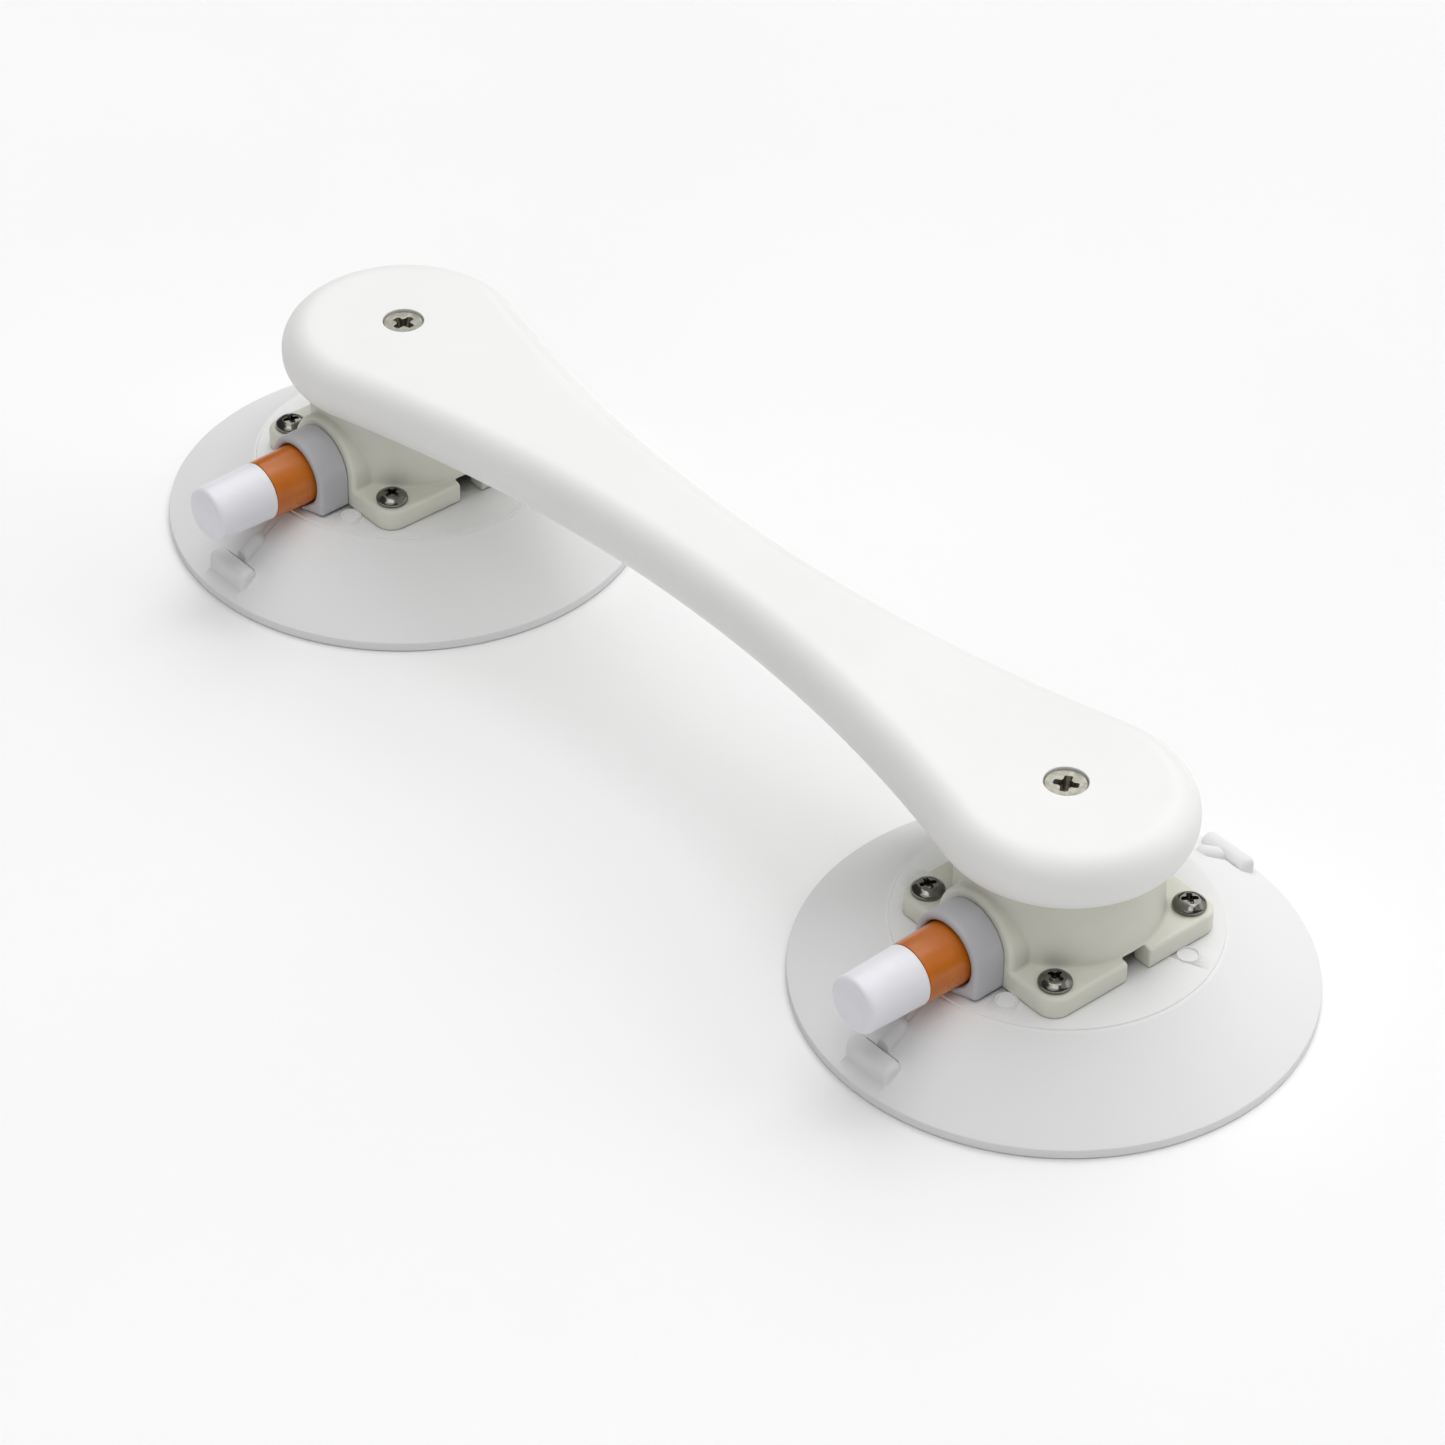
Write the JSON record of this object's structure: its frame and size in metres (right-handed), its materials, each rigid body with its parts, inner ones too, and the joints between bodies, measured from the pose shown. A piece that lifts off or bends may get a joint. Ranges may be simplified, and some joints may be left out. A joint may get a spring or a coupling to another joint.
{
  "type": "suction grab bar",
  "caption": "Portable grab bar: a rounded dog-bone handle screwed to two vacuum suction cups, each with a hand pump plunger and an orange vacuum indicator band.",
  "frame": {"origin": "on the mounting surface, midway between the two cup centres", "axes": "+X along the bar from the left cup to the right cup; -Y the side that both pump plungers point to; +Z away from the mounting surface"},
  "size_m": [0.4508, 0.1545, 0.0715],
  "materials": {
    "bar_plastic": "satin white rigid plastic, machined and tumbled smooth",
    "cup_rubber": "moulded off-white soft rubber, slightly translucent, satin",
    "housing_plastic": "moulded greenish-white engineering plastic, satin",
    "collar_plastic": "moulded pale lilac-grey plastic, fine matt texture",
    "plunger_plastic": "moulded white plastic, satin",
    "indicator_orange": "moulded orange plastic sleeve, satin",
    "seal_rubber": "moulded black nitrile rubber",
    "spring_steel": "drawn stainless spring wire",
    "screw_steel": "polished stainless steel",
    "insert_brass": "turned and knurled brass",
    "plate_steel": "brushed stainless plate",
    "filter_felt": "pressed grey felt disc"
  },
  "bodies": {
    "mount_frame": {"grab_bar": "bar_plastic", "suction_cup_left": "cup_rubber", "backing_plate_left": "plate_steel", "inlet_filter_left": "filter_felt", "pump_housing_left": "housing_plastic", "cylinder_collar_left": "collar_plastic", "return_spring_left": "spring_steel", "check_valve_left": "seal_rubber", "threaded_insert_left": "insert_brass", "handle_screw_left": "screw_steel", "flange_screw_left_1": "screw_steel", "flange_screw_left_2": "screw_steel", "flange_screw_left_3": "screw_steel", "flange_screw_left_4": "screw_steel", "suction_cup_right": "cup_rubber", "backing_plate_right": "plate_steel", "inlet_filter_right": "filter_felt", "pump_housing_right": "housing_plastic", "cylinder_collar_right": "collar_plastic", "return_spring_right": "spring_steel", "check_valve_right": "seal_rubber", "threaded_insert_right": "insert_brass", "handle_screw_right": "screw_steel", "flange_screw_right_1": "screw_steel", "flange_screw_right_2": "screw_steel", "flange_screw_right_3": "screw_steel", "flange_screw_right_4": "screw_steel"},
    "plunger_left": {"plunger_left": "plunger_plastic", "indicator_band_left": "indicator_orange", "piston_seal_left": "seal_rubber"},
    "plunger_right": {"plunger_right": "plunger_plastic", "indicator_band_right": "indicator_orange", "piston_seal_right": "seal_rubber"}
  },
  "joints": [
    {"name": "plunger_left_slide", "type": "slide", "parent": "mount_frame", "child": "plunger_left", "axis": [0, 1, 0], "range_m": [0, 0.028], "stiffness_N_per_m": 450, "springref_m": -0.012, "deforming": ["return_spring_left"]},
    {"name": "plunger_right_slide", "type": "slide", "parent": "mount_frame", "child": "plunger_right", "axis": [0, 1, 0], "range_m": [0, 0.028], "stiffness_N_per_m": 450, "springref_m": -0.012, "deforming": ["return_spring_right"]}
  ]
}
